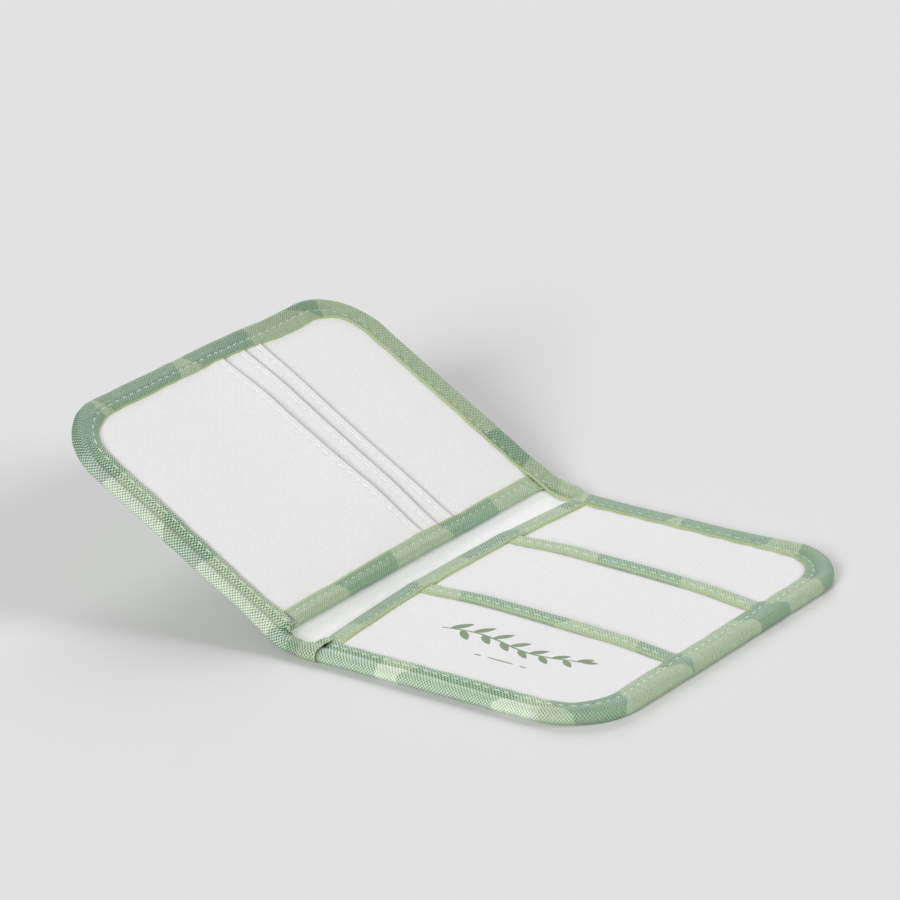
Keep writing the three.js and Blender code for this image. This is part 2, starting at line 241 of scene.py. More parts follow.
def sheet_piece(name, x, y, top, thickness, material):
    """A sheet of cloth over a grid: its top at height top, closed round its edge."""
    rows, columns = x.shape
    upper = np.stack([x, y, top], axis=-1)
    lower = upper - np.array([0, 0, 1.0]) * thickness[..., None]
    points = lay(np.concatenate([upper.reshape(-1, 3), lower.reshape(-1, 3)]))
    cloth = np.stack([x, y, np.zeros_like(x)], axis=-1).reshape(-1, 3)
    base = rows * columns
    quads = []
    for i in range(rows - 1):
        for j in range(columns - 1):
            a = i * columns + j
            quad = (a, a + 1, a + columns + 1, a + columns)
            quads += [quad, tuple(base + k for k in reversed(quad))]
    rim = sheet_rim(rows, columns)
    sharp = set()
    for a, b in zip(rim, rim[1:] + rim[:1]):
        quads.append((a, base + a, base + b, b))
        sharp |= {(min(a, b), max(a, b)), (base + min(a, b), base + max(a, b))}
    turned = (x[0, -1] < x[0, 0]) != (y[-1, 0] < y[0, 0])
    faces = [quad[::-1] for quad in quads] if turned else quads
    piece = new_piece(name, points, faces, np.concatenate([cloth, cloth]), material)
    for edge in piece.data.edges:
        edge.use_edge_sharp = tuple(sorted(edge.vertices)) in sharp
    return piece


# ---- Materials -----------------------------------------------------------------------------------------

class Value:
    """A number that a shader works out, for use in sums like any other number."""

    def __init__(self, shader, socket):
        self.shader = shader
        self.socket = socket

    def __add__(self, other):
        return self.shader.math("ADD", self, other)

    def __sub__(self, other):
        return self.shader.math("SUBTRACT", self, other)

    def __rsub__(self, other):
        return self.shader.math("SUBTRACT", other, self)

    def __mul__(self, other):
        return self.shader.math("MULTIPLY", self, other)

    __radd__ = __add__
    __rmul__ = __mul__


class Shader:
    """A node material with one Principled shader, and short ways to add to it."""

    def __init__(self, name, roughness, sheen, specular=0.25):
        self.material = bpy.data.materials.new(name)
        self.material.use_nodes = True
        self.tree = self.material.node_tree
        self.surface = self.tree.nodes["Principled BSDF"]
        self.surface.inputs["Roughness"].default_value = roughness
        self.surface.inputs["Sheen Weight"].default_value = sheen
        self.surface.inputs["Sheen Roughness"].default_value = 0.5
        self.surface.inputs["Specular IOR Level"].default_value = specular
        self.place = self.attribute("cloth", "Vector")
        split = self.tree.nodes.new("ShaderNodeSeparateXYZ")
        self.put(self.place, split.inputs[0])
        self.along, self.across, self.lip = (Value(self, socket) for socket in split.outputs)
        # Painted shade comes in as the seam attribute. Painted light where a tape faces the light, together
        # with how open its weave looks, comes in as the attribute after it.
        self.seam = Value(self, self.attribute("seam", "Fac"))
        self.grain = Value(self, self.attribute("grain", "Fac"))

    def attribute(self, name, output):
        node = self.tree.nodes.new("ShaderNodeAttribute")
        node.attribute_name = name
        return node.outputs[output]

    def put(self, value, socket):
        """Feeds a socket with a value, another node's socket or a plain number."""
        if isinstance(value, Value):
            value = value.socket
        if isinstance(value, bpy.types.NodeSocket):
            self.tree.links.new(value, socket)
        else:
            socket.default_value = value

    def math(self, operation, *values):
        node = self.tree.nodes.new("ShaderNodeMath")
        node.operation = operation
        for value, socket in zip(values, node.inputs):
            self.put(value, socket)
        return Value(self, node.outputs[0])

    def mix(self, factor, first, second, blend="MIX"):
        node = self.tree.nodes.new("ShaderNodeMix")
        node.data_type = "RGBA"
        node.blend_type = blend
        for value, socket in ((factor, 0), (first, 6), (second, 7)):
            self.put(value, node.inputs[socket])
        return node.outputs[2]

    def noise(self, scale, detail=2.0, stretch=(1, 1, 1)):
        """Noise of about 1/scale millimetres, around 0.5."""
        mapping = self.tree.nodes.new("ShaderNodeMapping")
        mapping.inputs["Scale"].default_value = stretch
        self.put(self.place, mapping.inputs["Vector"])
        node = self.tree.nodes.new("ShaderNodeTexNoise")
        node.inputs["Scale"].default_value = scale
        node.inputs["Detail"].default_value = detail
        self.put(mapping.outputs[0], node.inputs["Vector"])
        return Value(self, node.outputs[0])

    def slub(self):
        """Thick and thin places along the yarns, around 0.5."""
        return self.noise(1.1, 3.0, (1, 0.25, 1))

    def weave(self, yarn):
        """Plain weave: 1 on the crowns of the yarns that lie on top, -1 in the places between them."""
        turn = math.pi / yarn
        slanting = self.across * 0.85
        strong = self.math("COSINE", (self.along - slanting) * turn)
        weak = self.math("COSINE", (self.along + slanting) * turn)
        return strong * 0.56 - weak * 0.44

    def ramp(self, value, low, high):
        """0 below low, 1 above high, and a smooth rise between."""
        node = self.tree.nodes.new("ShaderNodeMapRange")
        node.interpolation_type = "SMOOTHSTEP"
        self.put(value, node.inputs["Value"])
        node.inputs["From Min"].default_value = low
        node.inputs["From Max"].default_value = high
        return Value(self, node.outputs[0])

    def bump(self, height, distance, strength):
        node = self.tree.nodes.new("ShaderNodeBump")
        node.inputs["Distance"].default_value = distance * MM
        node.inputs["Strength"].default_value = strength
        self.put(height, node.inputs["Height"])
        self.put(node.outputs[0], self.surface.inputs["Normal"])

    def darkened(self, base, shade):
        """A colour with each channel multiplied by shade."""
        grey = self.tree.nodes.new("ShaderNodeCombineColor")
        for socket in grey.inputs:
            self.put(shade, socket)
        return self.mix(1.0, base, grey.outputs[0], "MULTIPLY")

    def colour(self, value):
        self.put(value, self.surface.inputs["Base Color"])


def rgb(red, green, blue):
    """A screen colour from 0 to 255 as a shader colour."""
    return tuple((c / 255) ** 2.2 for c in (red, green, blue)) + (1.0,)


PALE_GREEN = rgb(170, 191, 156)
SAGE_GREEN = rgb(131, 163, 133)
LIP_GREEN = rgb(178, 194, 132)
# Pale weft on the crowns of the yarns; also the colour of painted highlights and of painted light where the
# tape faces the light.
CROWN_AND_SHEEN_GREEN = rgb(228, 242, 222)
WHITE = rgb(234, 234, 234)


def canvas_colour(shader, base, yarn, depth, mottle):
    """Darkens a colour between the yarns, and lets it vary a little from yarn to yarn."""
    woven = shader.weave(yarn)
    slub = shader.slub()
    patch = shader.noise(0.08)
    uneven = (slub - 0.5) * mottle + (patch - 0.5) * (mottle * 0.6)
    shade = woven * depth + (1.0 - 0.5 * depth) + uneven
    return shader.darkened(base, shade), woven, slub


def from_mouth(shader, half, mouth, back, side):
    """Distance on one side of a pocket's mouth, or of a line moved back from it, on the flat cloth."""
    run = reach_of(half) - LAYER_INSET - MOUTH_START
    if half == "right":
        out = shader.along - MOUTH_START
    else:
        out = (-SPINE_WIDTH - MOUTH_START) - shader.along
    share = out * (1.0 / run)
    bow = share * (1.0 - share) * (4.0 * mouth["bow"])
    line = share * (mouth["outer"] - mouth["fold"]) + (mouth["fold"] - back) + bow
    return (shader.across - line) * side


def white_canvas_material(name, edges=(), white=WHITE):
    """White canvas. edges: the mouths beside which another layer casts shade, as from_mouth takes them."""
    shader = Shader(name, 0.9, 0.1)
    colour, woven, slub = canvas_colour(shader, white, 0.58, 0.03, 0.05)
    fleck = shader.noise(1.5)
    shade = (fleck - 0.5) * 0.16 + 1.0
    for half, mouth, back, side in edges:
        distance = from_mouth(shader, half, mouth, back, side)
        reach = 3.2 if side > 0 else 1.0
        shade = shade * (shader.ramp(distance, 0.2, reach) * 0.25 + 0.75)
    shader.colour(shader.darkened(colour, shade))
    shader.bump(woven * 0.45 + slub + fleck, 0.16, 0.6)
    return shader.material


def printed_blocks(shader, blocks, start_pale):
    """The two greens of the print. blocks: where the print changes along the tape, and how far it slants."""
    place = shader.along + (shader.noise(0.2, 1.0) - 0.5) * 2.2
    from_middle = shader.math("MINIMUM", shader.across - 6.0, 5.0)
    passed = 0.0
    for edge, slant in blocks:
        passed = passed + shader.math("GREATER_THAN", place, from_middle * slant + edge)
    odd = shader.math("MODULO", passed, 2.0)
    pale = 1.0 - odd if start_pale else odd
    return shader.mix(pale, SAGE_GREEN, PALE_GREEN), pale


def tape_material(name, blocks, start_pale=False, painted_dimming=1.0):
    """Binding tape in two greens, with painted shade along its seam and in its hollows, painted light where
    it faces the light, and yellow-green where its edge turns under.
    """
    shader = Shader(name, 0.55, 0.05, 0.45)
    base, pale = printed_blocks(shader, blocks, start_pale)
    woven = shader.weave(0.52)
    slub = shader.slub()
    # Painted light: the roll's outer face is lightened towards the pale crown colour where the tape faces
    # the light.
    painted_light_on_roll = shader.ramp(shader.across, 6.0, 8.2) * shader.ramp(shader.grain, 0.8, 1.0)
    base = shader.mix(painted_light_on_roll * (pale * 0.42 + 0.27), base, CROWN_AND_SHEEN_GREEN)
    pits = shader.math("MAXIMUM", -0.1 - woven, 0.0)
    crowns = shader.math("MAXIMUM", woven - 0.15, 0.0)
    # Painted light: the tape is made lighter, with deeper gaps between its yarns, where it faces the light.
    # Darker copies of the tape are painted shade.
    shade = (shader.grain * 0.16 + 0.9) * painted_dimming - pits * (shader.grain * 0.62 + 0.15)
    shade = shade + (slub - 0.5) * 0.4 + (shader.noise(2.0) - 0.5) * 0.5
    # Pale weft on the crowns of the yarns, made stronger as a painted highlight where the tape faces the
    # light, and weaker in painted shade.
    paler_share = crowns * (shader.grain + 0.1) * (1.0 - shader.seam * 0.6)
    colour = shader.mix(paler_share, shader.darkened(base, shade), CROWN_AND_SHEEN_GREEN)
    colour = shader.mix(shader.lip * 0.75, colour, LIP_GREEN)
    # Painted shade: darker along seams, in the hollows beside them, on rolls' lower sides and beside the
    # closing end.
    shader.colour(shader.darkened(colour, 1.0 - shader.seam * 0.38))
    shader.bump(woven * 0.5 + slub, 0.26, 0.7)
    return shader.material


def printed_canvas_material():
    """The outer canvas: wavy checks in the tape's two greens, softened."""
    shader = Shader("printed_canvas", 0.85, 0.15)
    waves = []
    for own, other in ((shader.along, shader.across), (shader.across, shader.along)):
        sway = shader.math("SINE", other * 0.125) * 4.0
        waves.append(shader.math("SINE", (own + sway) * (math.pi / 26.0)))
    check = shader.math("GREATER_THAN", waves[0] * waves[1], 0.0)
    base = shader.mix(check, rgb(190, 200, 184), rgb(152, 168, 154))
    colour, woven, slub = canvas_colour(shader, base, 0.56, 0.08, 0.12)
    shader.colour(colour)
    shader.bump(woven * 0.6 + slub, 0.14, 0.6)
    return shader.material


def thread_material(name, colour):
    """Twisted thread: fine slanting grooves along each stitch."""
    shader = Shader(name, 0.6, 0.1)
    shader.colour(colour)
    shader.bump(shader.math("SINE", shader.along * 9.0 + shader.across), 0.05, 0.5)
    return shader.material


def print_material():
    shader = Shader("printed_motif", 0.8, 0.0)
    paler_share = shader.noise(1.6, 3.0)
    shader.colour(shader.mix(paler_share, rgb(122, 140, 114), rgb(146, 162, 136)))
    return shader.material


def plain_layer_material():
    """Hidden stiffening layer: pale felted fibres."""
    shader = Shader("interlining_felt", 0.95, 0.0)
    texture = shader.tree.nodes.new("ShaderNodeTexNoise")
    texture.inputs["Scale"].default_value = 900.0
    shader.colour(shader.mix(texture.outputs[0], rgb(210, 210, 204), rgb(228, 228, 222)))
    return shader.material


# The lining's white is lighter than the other white canvas: painted light on the lining, which shows in the
# shaded gutter between the halves.
LIT_LINING_WHITE = white_canvas_material("lining_white_painted_lighter", white=rgb(247, 247, 247))
PRINTED = printed_canvas_material()
GREEN_THREAD = thread_material("green_thread", rgb(212, 234, 210))
WHITE_THREAD = thread_material("white_thread", rgb(250, 250, 250))

# The mouths that shade each white sheet: half, mouth, how far back from it, and on which side of that line.
MOUTHS_BESIDE = {
    "right_panel": [("right", MIDDLE_MOUTH, 0.0, 1)],
    "middle_slip": [("right", FRONT_MOUTH, 0.0, 1), ("right", MIDDLE_MOUTH, BAND_WIDTH, -1)],
    "front_slip": [("right", FRONT_MOUTH, BAND_WIDTH, -1)],
    "left_panel": [("left", REAR_CARD, 0.0, 1)],
    "rear_card": [("left", MIDDLE_CARD, 0.0, 1)],
    "middle_card": [("left", FRONT_CARD, 0.0, 1)],
    "front_card": [],
}
WHITES = {
    name: white_canvas_material(f"white_canvas_{name}", edges) for name, edges in MOUTHS_BESIDE.items()
}


# ---- Heights of the white layers -----------------------------------------------------------------------

def mouth_at(half, mouth, u):
    """Where a pocket's mouth is along the folds, u out from the fold line."""
    share = np.clip((u - MOUTH_START) / (reach_of(half) - LAYER_INSET - MOUTH_START), 0, 1)
    bow = 4.0 * mouth["bow"] * share * (1.0 - share)
    return mouth["fold"] + (mouth["outer"] - mouth["fold"]) * share + bow


def held_down(half, u, y):
    """1 in the free middle of a half, falling to 0 where the edge binding and panel binding hold it."""
    inner, outer = 7.0, reach_of(half) - EDGE_WIDTH
    free_u = smooth((u - inner) / 22.0) * smooth((outer - u) / 22.0)
    free_y = smooth((HALF_LENGTH - EDGE_WIDTH - np.abs(y)) / 14.0)
    return free_u * free_y


def mouth_lift(half, mouth, u, y):
    """How far a pocket stands up near its mouth."""
    below = mouth_at(half, mouth, u) - y
    falling = np.where(below > 0, np.exp(-((below / 17.0) ** 2)), np.exp(-((below / 2.0) ** 2)))
    return mouth["lift"] * falling * held_down(half, u, y) ** 0.7


def crown(half, u, y, seed):
    """The slight unevenness of a sewn panel."""
    wave = drift(u + 0.5 * y, seed, 61.0, 0.07) + drift(y - 0.4 * u, seed + 1, 47.0, 0.07)
    return (0.16 + wave) * held_down(half, u, y)


def puckers(half, u, y):
    """Small gathers beside the edge binding's seam, and soft creases near the corners at the fold."""
    from_ends = np.clip(HALF_LENGTH - EDGE_WIDTH - np.abs(y), 0, None)
    from_side = np.clip(reach_of(half) - EDGE_WIDTH - u, 0, None)
    along_ends = np.exp(-from_ends / 5.0) * np.sin(2 * math.pi * u / 8.7 + 2 * np.sin(u / 13.0))
    along_side = np.exp(-from_side / 5.0) * np.sin(2 * math.pi * y / 9.3 + 2 * np.sin(y / 17.0))
    place = np.exp(-(((u - 15.0) / 11.0) ** 2) - ((np.abs(y) - 42.0) / 17.0) ** 2)
    creases = place * np.sin(2 * math.pi * (u + 0.6 * y) / 14.0)
    return 0.12 * (along_ends + along_side) + (0.22 if half == "left" else 0.1) * creases


def panel_top(half, u, y):
    """Top of a half's back panel. It lies a little lower at the fold side, where the stack is thinner."""
    rise = 0.4 * (smooth(u / 60.0) - 0.6)
    return PANEL_TOP + rise + crown(half, u, y, 3 if half == "right" else 5) + puckers(half, u, y)


def pressed(half, u, y, top):
    """The height of a layer once the edge binding has squeezed it thin along its sewn edges."""
    inset = np.minimum(HALF_LENGTH - np.abs(y), outer_limit(half, y, 0.0) - u)
    kept = 1 - 0.78 * smooth((6.9 - inset) / 2.0)
    return PANEL_TOP - 0.1 + (top - PANEL_TOP + 0.1) * kept


def layer_tops(half, u, y):
    """Tops of the back panel and of each pocket over it, as if each one covered the whole half."""
    if half == "right":
        mouths, step = (MIDDLE_MOUTH, FRONT_MOUTH), POCKET_STEP
    else:
        mouths, step = (REAR_CARD, MIDDLE_CARD, FRONT_CARD), CARD_STEP
    tops = [panel_top(half, u, y)]
    for number, mouth in enumerate(mouths):
        below = mouth_at(half, mouth, u) - y
        hem = 0.12 * smooth((7.0 - below) / 1.6) if half == "left" else 0.0
        under = tops[-1] + step + hem
        tops.append(under + mouth_lift(half, mouth, u, y) + 0.3 * crown(half, u, y, 20 + number))
    return [pressed(half, u, y, top) for top in tops], mouths


def surface_top(half, u, y):
    """The height of what is uppermost at a place inside the edge binding."""
    tops, mouths = layer_tops(half, u, y)
    height = tops[0]
    for top, mouth in zip(tops[1:], mouths):
        below = mouth_at(half, mouth, u) - y
        height = height + (top - height) * smooth((below + 0.4) / 0.8)
        if half == "right":
            height = height + 0.5 * smooth((below + 0.9) / 1.2) * smooth((BAND_WIDTH + 0.9 - below) / 1.2)
    return height


# ---- White sheets --------------------------------------------------------------------------------------

def outer_limit(half, y, inset=LAYER_INSET):
    """How far out a layer reaches at y, with its rounded corners."""
    reach = reach_of(half)
    over = np.clip(np.abs(y) - (HALF_LENGTH - CORNER_RADIUS), 0, CORNER_RADIUS - inset)
    return reach - CORNER_RADIUS + np.sqrt((CORNER_RADIUS - inset) ** 2 - over**2)


def bound_edge(half, y):
    """Where a back panel's bound edge is, out from the fold line."""
    if half == "left":
        return 0.1 + 0 * y
    return 0.1 + 4.0 * (y / HALF_LENGTH) ** 2


def half_grid(half, inner, from_y, to_y):
    """A grid of places over a half, from inner(y) out to the cut edge. from_y and to_y may vary with u."""
    rows = int(abs(np.mean(to_y) - np.mean(from_y)) / GRID_STEP) + 2
    columns = int(reach_of(half) / GRID_STEP) + 2
    t = np.linspace(0, 1, columns)[None, :]
    v = np.linspace(0, 1, rows)[:, None]
    y = from_y + (to_y - from_y) * v + 0 * t
    return between(inner(y), outer_limit(half, y), t), y


def declare(x, y):
    """Works out the area and size of a piece's cloth from its flat grid, and does nothing more with them."""
    points = np.stack([x, y], axis=-1)
    a, b = points[1:, :-1] - points[:-1, :-1], points[:-1, 1:] - points[:-1, :-1]
    c, d = points[:-1, 1:] - points[1:, 1:], points[1:, :-1] - points[1:, 1:]
    area = 0.5 * (np.abs(a[..., 0] * b[..., 1] - a[..., 1] * b[..., 0]).sum())
    area += 0.5 * (np.abs(c[..., 0] * d[..., 1] - c[..., 1] * d[..., 0]).sum())
    width, length = np.ptp(x) * MM, np.ptp(y) * MM
    area = min(area * MM * MM, width * length)


def blend_over_fold(piece, half, inner=-SPINE_WIDTH + BEND_RIGHT):
    """Bakes a piece's placement into its mesh. It works out where a bend over the fold next to its half
    would start and stop, but does not use them. inner is where the left fold's bend may start.
    """
    if half == "right":
        start, stop = lay([[BEND_RIGHT, 0, FOLD_HEIGHT], [-BEND_RIGHT, 0, FOLD_HEIGHT]])
        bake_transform(piece)
    else:
        start, stop = lay([[inner, 0, FOLD_HEIGHT], [-SPINE_WIDTH - BEND_RIGHT, 0, FOLD_HEIGHT]])
        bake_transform(piece)


def attach(piece, half, slot, *nodes, bends=False):
    """Hides the CAD nodes that a piece stands for, and puts it on its half's body, or, with bends, only
    bakes its placement into its mesh. slot, what the piece is made of, is not used.
    """
    if nodes:
        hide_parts(*nodes)
    if bends:
        blend_over_fold(piece, half)
    else:
        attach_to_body(piece, f"{half}_half")


def add_back_panel(half):
    u, y = half_grid(half, lambda v: bound_edge(half, v) + 0.7, -LAYER_END, LAYER_END)
    top = pressed(half, u, y, panel_top(half, u, y))
    name = f"{half}_panel"
    piece = sheet_piece(name, side_x(half, u), y, top, 0 * u + CANVAS, WHITES[name])
    attach(piece, half, "white_canvas", f"{half}_back_panel")
    declare(u, y)


def add_right_pocket(name, number, mouth):
    """A right pocket: its mouth is bound by a band, and its other edges lie inside the bindings."""
    columns = np.linspace(0, 1, int(RIGHT_REACH / GRID_STEP) + 2)[None, :]
    mouth_y = between(mouth["fold"], mouth["outer"], columns) - 0.4
    u, y = half_grid("right", lambda v: bound_edge("right", v) + POCKET_START, mouth_y, -LAYER_END)
    tops, _ = layer_tops("right", u, y)
    piece = sheet_piece(f"{name}_slip_pocket", u, y, tops[number], 0 * u + CANVAS, WHITES[f"{name}_slip"])
    attach(piece, "right", "white_canvas", f"right_{name}_pocket")
    declare(u, y)


# Distances below a card pocket's mouth: close together round the fold and the stitches of its hem.
HEM_ROWS = [
    0, 0.04, 0.12, 0.25, 0.45, 0.75, 1.2, 1.6, 1.9, 2.15,
    2.4, 2.7, 3.1, 3.7, 4.6, 5.4, 5.9, 6.4, 7.0, 8.0,
]


def card_rows(mouth_y, depth):
    """Rows of a card pocket from its mouth down. Without a depth the last row is the half's near edge."""
    full = depth or mouth_y[0, 0] + LAYER_END
    below = np.concatenate([HEM_ROWS, np.linspace(9.5, full, int(full / 1.7))])[:, None]
    if depth:
        return mouth_y - below
    return np.where(below < 8.5, mouth_y - below, between(mouth_y, -LAYER_END, below / full))


def add_card_pocket(name, number, mouth, depth):
    """A left pocket: a turned hem with a row of stitches along its mouth."""
    columns = np.arange(0, 1.0001, 1 / 130)[None, :]
    mouth_y = mouth_at("left", mouth, between(POCKET_START, LEFT_REACH - LAYER_INSET, columns))
    y = card_rows(mouth_y, depth)
    u = between(POCKET_START, outer_limit("left", y), columns)
    below = mouth_at("left", mouth, u) - y
    from_round = np.clip(HEM_ROUND - below, 0, HEM_ROUND)
    rounding = HEM_ROUND - np.sqrt(np.clip(HEM_ROUND**2 - from_round**2, 0, 1))
    pull = 0.75 + 0.25 * np.cos(2 * math.pi * u / HEM_STITCH)
    dip = 0.11 * np.exp(-(((below - HEM_SEAM) / 0.42) ** 2)) * pull
    tops, _ = layer_tops("left", u, y)
    top = tops[number] - rounding - dip
    thickness = np.where(below < HEM_WIDTH, HEM_THICKNESS, CANVAS)
    thickness = thickness - np.where(below < HEM_ROUND, rounding * 0.9, 0)
    material = WHITES[f"{name}_card"]
    piece = sheet_piece(f"{name}_card_pocket", side_x("left", u), y, top, thickness, material)
    attach(piece, "left", "white_canvas", f"left_{name}_pocket")
    declare(u, y)


def add_wrap_layer(half, name, node, heights, thickness, material, slot):
    """A layer of a half. The right one runs on over the spine strip, and the left one meets it there."""
    start = LAYER_SPLIT if half == "right" else -SPINE_WIDTH - LAYER_SPLIT
    columns = np.concatenate([np.linspace(start, 9, 26), np.linspace(10.5, 95, 50)])
    share = (columns - start) / (columns[-1] - start)
    y = np.linspace(-LAYER_END, LAYER_END, int(2 * LAYER_END / 1.9) + 2)[:, None]
    u = between(start, outer_limit(half, y), share[None, :])
    y = y + 0 * u
    piece = sheet_piece(f"{half}_{name}", side_x(half, u), y, heights(u, y), 0 * u + thickness, material)
    own = f"{half}_{node}"
    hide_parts(own, *([f"spine_{node}"] if half == "right" else []))
    declare(u, y)
    blend_over_fold(piece, half, LAYER_SPLIT - 0.2)


def lining_height(u, y):
    """The lining drops to the thin stack of the spine strip."""
    from_strip = np.maximum(u, -SPINE_WIDTH - u)
    over_strip = smooth((2.5 - from_strip) / 3.5)
    return between(LINING_TOP, SPINE_LINING_TOP, over_strip) + 0.0 * y


def cover_height(u, y):
    return COVER_TOP + drift(u, 41, 37.0, 0.03) + drift(y, 42, 43.0, 0.03)


# ---- Tapes folded over an edge -------------------------------------------------------------------------

def section(rows):
    """The corners of a tape's outer face for each ring, from rows of (distance inward, height)."""
    return np.stack([np.stack(np.broadcast_arrays(*row), axis=-1) for row in rows], axis=1)


def beside(distance, height, offsets):
    """Rows of a section at offsets from one place in it."""
    return [(distance + a, height + z) for a, z in offsets]


def tape_section(outside, count):
    """Closed loops for a tape of even thickness, from the line of its outer face, (rings, n, 2)."""
    outer = through(outside, count)
    step = np.gradient(outer, axis=-2)
    normal = np.stack([step[..., 1], -step[..., 0]], axis=-1)
    normal /= np.maximum(np.linalg.norm(normal, axis=-1, keepdims=True), 1e-9)
    inner = outer + normal * TAPE
    return np.concatenate([outer, inner[:, ::-1, :]], axis=1), outer


def tape_marks(middle, across, seam):
    """Masks of painted shade: where a tape's section dips at its seam, the hollow beside it, and its lower
    side where it turns down to the table.
    """
    half = len(across) // 2
    lip_front = int(np.argmax(middle[:half, 0]))
    fold_out = int(np.argmin(middle[:, 0]))
    seam_across = np.interp(-seam, -middle[lip_front:half, 0], across[lip_front:half])
    dent = np.exp(-(((across - seam_across) / 0.42) ** 2))
    hollow = np.exp(-(((across - seam_across - 2.3) / 1.3) ** 2))
    under = smooth((1.5 - middle[:, 1]) / 0.7) * (np.arange(len(across)) > fold_out)
    return [np.concatenate([mark, 0 * mark])[None, :] for mark in (dent, hollow, under)]


def tape_piece(name, path, inward, outside, along, material, seam, count=60, **looks):
    """A tape swept along a path. outside gives, ring by ring, (inward distance, height) of its outer face.

    looks, ring by ring: grain is how open the weave looks and how much painted light the tape gets
    where it faces the light; shade how dark the painted shade in the hollow beside the seam is; dark how
    dark a painted shadow across the whole tape is; below how dark the painted shade on the roll's lower side
    is;
    and turned how far the turned edge spreads over the whole tape. The seam's own dip gets painted shade
    too.
    """
    loops, outer = tape_section(outside, count)
    rings, points = loops.shape[:2]
    flat = np.concatenate([path[:, None, :] + inward[:, None, :] * loops[..., :1], loops[..., 1:]], axis=-1)
    middle = outer[rings // 2]
    across = np.concatenate([[0], np.cumsum(np.linalg.norm(np.diff(middle, axis=0), axis=1))])
    lip = smooth((across - LIP_SPAN[0]) / 0.12) * smooth((LIP_SPAN[1] - across) / 0.12)
    names = ("grain", "shade", "dark", "below", "turned")
    grain, shade, dark, below, turned = ((np.zeros(rings) + looks.get(key, 0.0))[:, None] for key in names)
    dent, hollow, under = tape_marks(middle, across, seam)
    dark = np.maximum.reduce([dent + 0 * dark, hollow * shade, under * below, dark + 0 * dent])
    cloth = np.empty(flat.shape)
    cloth[..., 0] = along[:, None]
    cloth[..., 1] = np.concatenate([across, across[::-1]])
    cloth[..., 2] = np.maximum(np.concatenate([lip, lip[::-1]]), turned)
    points_m = lay(flat)
    piece = new_piece(name, points_m, facing_out(points_m, loft_faces(rings, points)), cloth, material)
    last = (rings - 1) * points
    for edge in piece.data.edges:
        edge.use_edge_sharp = max(edge.vertices) < points or min(edge.vertices) >= last
    # The seam attribute carries all the painted shade; the other carries painted light and how open the
    # weave looks.
    for layer_name, values in (("seam", dark), ("grain", grain + 0 * dent)):
        layer = piece.data.attributes.new(layer_name, "FLOAT", "POINT")
        layer.data.foreach_set("value", values.ravel().astype(np.float32))
    return piece


def edge_place(half, s):
    """Place and inward direction on a half's outer edge, s along it from the fold line's near end."""
    straight = reach_of(half) - CORNER_RADIUS
    corner = CORNER_RADIUS * math.pi / 2
    side = 2 * (HALF_LENGTH - CORNER_RADIUS)
    first = np.clip((s - straight) / corner, 0, 1)
    second = np.clip((s - straight - corner - side) / corner, 0, 1)
    turn = (first + second) * math.pi / 2
    run_near = np.minimum(s, straight)
    run_side = np.clip(s - straight - corner, 0, side)
    run_far = np.maximum(s - straight - 2 * corner - side, 0)
    u = run_near + CORNER_RADIUS * np.sin(turn) - run_far
    y = run_side - side / 2 - CORNER_RADIUS * np.cos(turn)
    return u, y, np.stack([-np.sin(turn), np.cos(turn)], axis=-1)


def edge_length(half):
    return 2 * (reach_of(half) - CORNER_RADIUS) + CORNER_RADIUS * math.pi + 2 * (HALF_LENGTH - CORNER_RADIUS)


def softened(values, reach):
    """A running average, to ease tape over steps in what it covers."""
    kernel = np.hanning(2 * reach + 3)[1:-1]
    kernel /= kernel.sum()
    padded = np.concatenate([np.full(reach, values[0]), values, np.full(reach, values[-1])])
    return np.convolve(padded, kernel, mode="valid")


def near_share(s):
    """1 along the near end, where the tape stands up in a round roll, and 0 along the other sides."""
    return 1.0 - smooth((s - 74.0) / 22.0)


def edge_form(half, s):
    """Place, inward direction, flap height, roll height, lip distance and thinness of an edge binding."""
    u, y, inward = edge_place(half, s)
    near = near_share(s)
    thin = smooth((4.6 - u) / 3.6) if half == "right" else smooth((1.0 - u) / 2.6)
    thick = 1 - thin
    lip = np.stack([u, y], axis=-1) + inward * EDGE_WIDTH
    covered = surface_top(half, np.maximum(lip[:, 0], MOUTH_START), lip[:, 1])
    if half == "left":
        covered = covered + 0.75 * smooth((9.0 - u) / 3.0)
    flap = between(softened(covered, 2) + 0.5, SPINE_LINING_TOP + 0.8, thin) + 0.3 * near * thick
    crest = 4.55 - 1.0 * near + (drift(s, 11, 39.0, 0.12) + 0.2 * (flap - 3.6)) * thick
    wide = smooth((np.abs(inward[:, 0]) - 0.5) / 0.5)
    if half == "left":
        width = EDGE_WIDTH - 0.35 + 0.9 * wide + 1.4 * np.exp(-(((s - 197.0) / 16.0) ** 2))
        width = width - 0.45 * np.exp(-(((s - 22.0) / 26.0) ** 2)) - 0.5 * near
        crest = crest - 0.45 * wide
    else:
        width = EDGE_WIDTH + 0.4 * wide - 0.8 * near + 0.3 * smooth((s - 235.0) / 30.0)
        crest = crest - (0.4 + 1.15 * smooth((s - 235.0) / 40.0)) * smooth((s - 225.0) / 30.0) * thick
    width = width + (drift(s, 13, 23.0, 0.16) + drift(s, 14, 7.0, 0.05)) * thick - 1.4 * thin
    return u, y, inward, flap, crest, width, thin


def edge_low(thin):
    """Height of the edge binding's underside."""
    return 0.22 - 0.1 * thin


def edge_seam_inset(s, thin):
    return EDGE_SEAM - 0.7 * thin - 0.9 * near_share(s)


